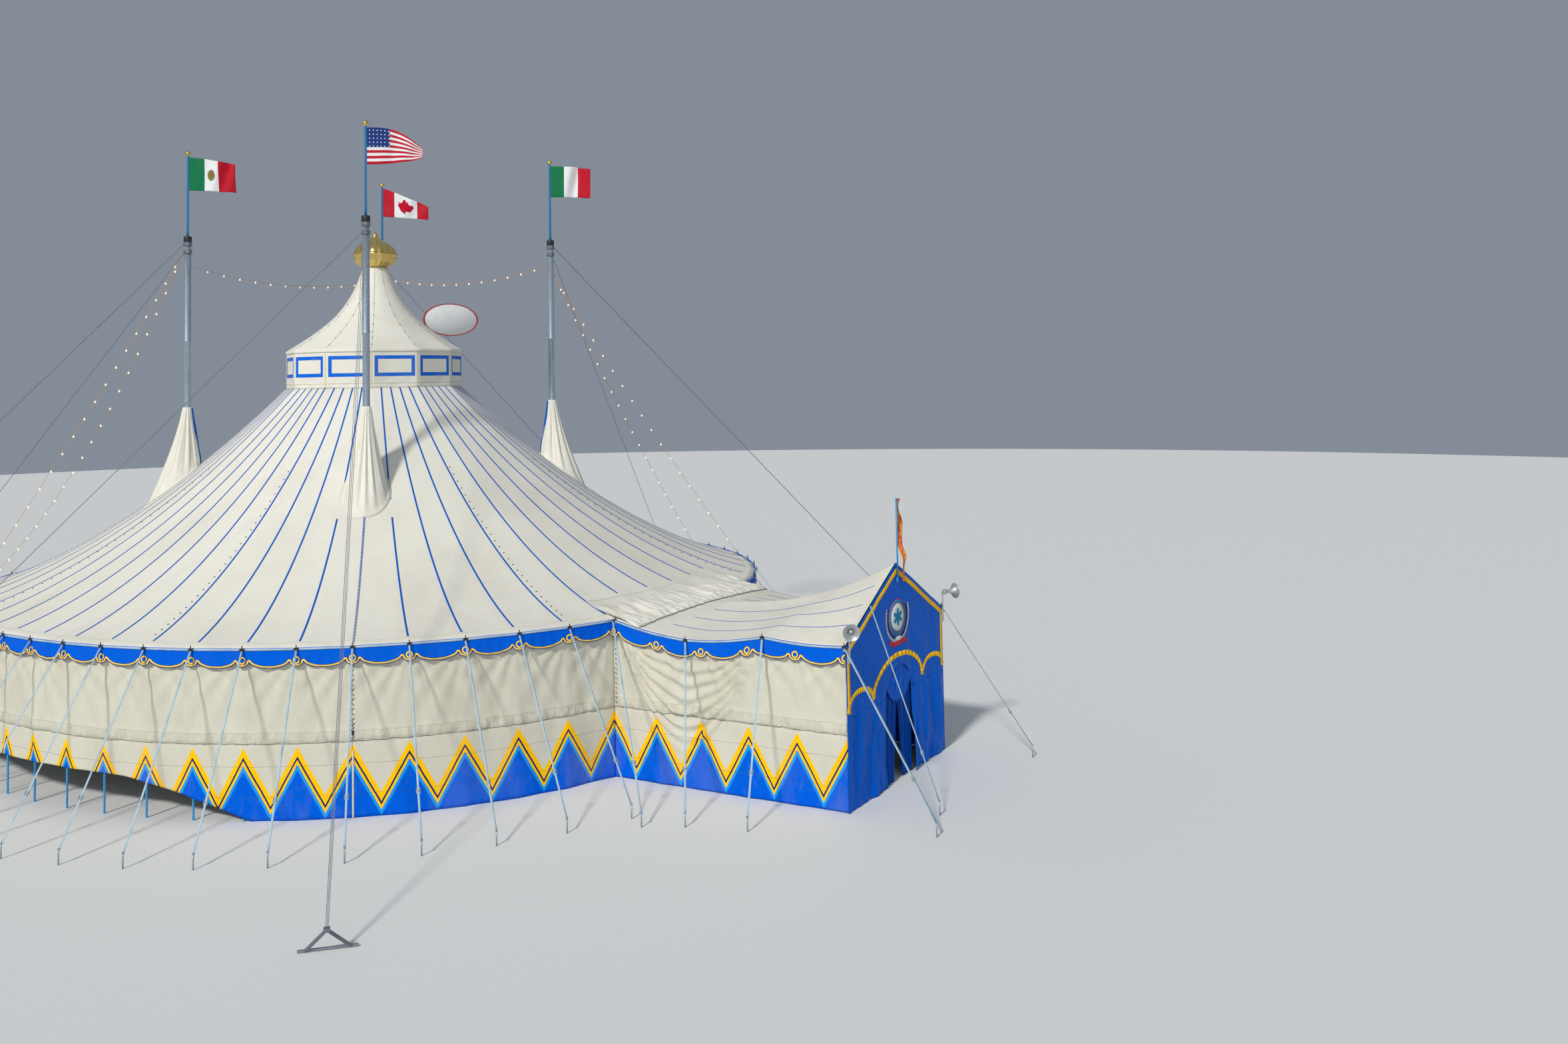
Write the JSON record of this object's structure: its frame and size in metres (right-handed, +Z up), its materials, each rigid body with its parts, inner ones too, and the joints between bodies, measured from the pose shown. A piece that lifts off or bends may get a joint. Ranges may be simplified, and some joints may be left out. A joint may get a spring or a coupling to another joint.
{
  "type": "circus big top tent",
  "caption": "Round canvas big top with a hollow-curved striped roof on four tall masts, a drum and cone cupola, guyed side walls and a gabled blue entrance annex.",
  "frame": {"origin": "on the ground under the middle of the whole footprint, stakes included", "axes": "+Z up, -Y out of the entrance, +X to the right seen with the back to the entrance's inside"},
  "size_m": [38.12, 39.0028, 18.9666],
  "materials": {
    "cream_canvas": "coated tent canvas, slightly soiled",
    "blue_canvas": "royal blue coated canvas",
    "facade_canvas": "deep blue heavy canvas and curtains",
    "galvanised_steel": "weathered zinc coating",
    "brass": "polished sheet brass",
    "strap_webbing": "pale woven polyester webbing",
    "flag_cloth": "light woven flag cloth",
    "streamer_cloth": "light orange and gold cloth",
    "horn_metal": "weathered spun aluminium",
    "sign_paint": "satin white sheet with a red edge"
  },
  "bodies": {
    "root": {"annex_roof": "cream_canvas", "annex_wall_left": "cream_canvas", "annex_wall_right": "cream_canvas", "cupola_cone": "cream_canvas", "cupola_drum": "cream_canvas", "cupola_finial": "brass", "door_curtain_left": "facade_canvas", "door_curtain_right": "facade_canvas", "facade_frame": "galvanised_steel", "facade_gable": "facade_canvas", "facade_panel_left": "facade_canvas", "facade_panel_right": "facade_canvas", "flag_back_left": "flag_cloth", "flag_back_right": "flag_cloth", "flag_front_left": "flag_cloth", "flag_front_right": "flag_cloth", "gable_streamer": "streamer_cloth", "guy_straps_left": "strap_webbing", "guy_straps_right": "strap_webbing", "horn_left": "horn_metal", "horn_right": "horn_metal", "mast_back_left": "galvanised_steel", "mast_back_right": "galvanised_steel", "mast_boot_back_left": "cream_canvas", "mast_boot_back_right": "cream_canvas", "mast_boot_front_left": "cream_canvas", "mast_boot_front_right": "cream_canvas", "mast_front_left": "galvanised_steel", "mast_front_right": "galvanised_steel", "mast_stay_back_left": "galvanised_steel", "mast_stay_back_right": "galvanised_steel", "mast_stay_front_left": "galvanised_steel", "mast_stay_front_right": "galvanised_steel", "roof_back": "cream_canvas", "roof_front": "cream_canvas", "roof_left": "cream_canvas", "roof_right": "cream_canvas", "side_poles_left": "galvanised_steel", "side_poles_right": "galvanised_steel", "side_stay_left": "galvanised_steel", "side_stay_right": "galvanised_steel", "side_wall_back": "cream_canvas", "side_wall_front_left": "cream_canvas", "side_wall_front_right": "cream_canvas", "side_wall_left": "cream_canvas", "side_wall_right": "cream_canvas", "sign_board": "sign_paint", "valance_left": "blue_canvas", "valance_right": "blue_canvas"}
  },
  "joints": []
}
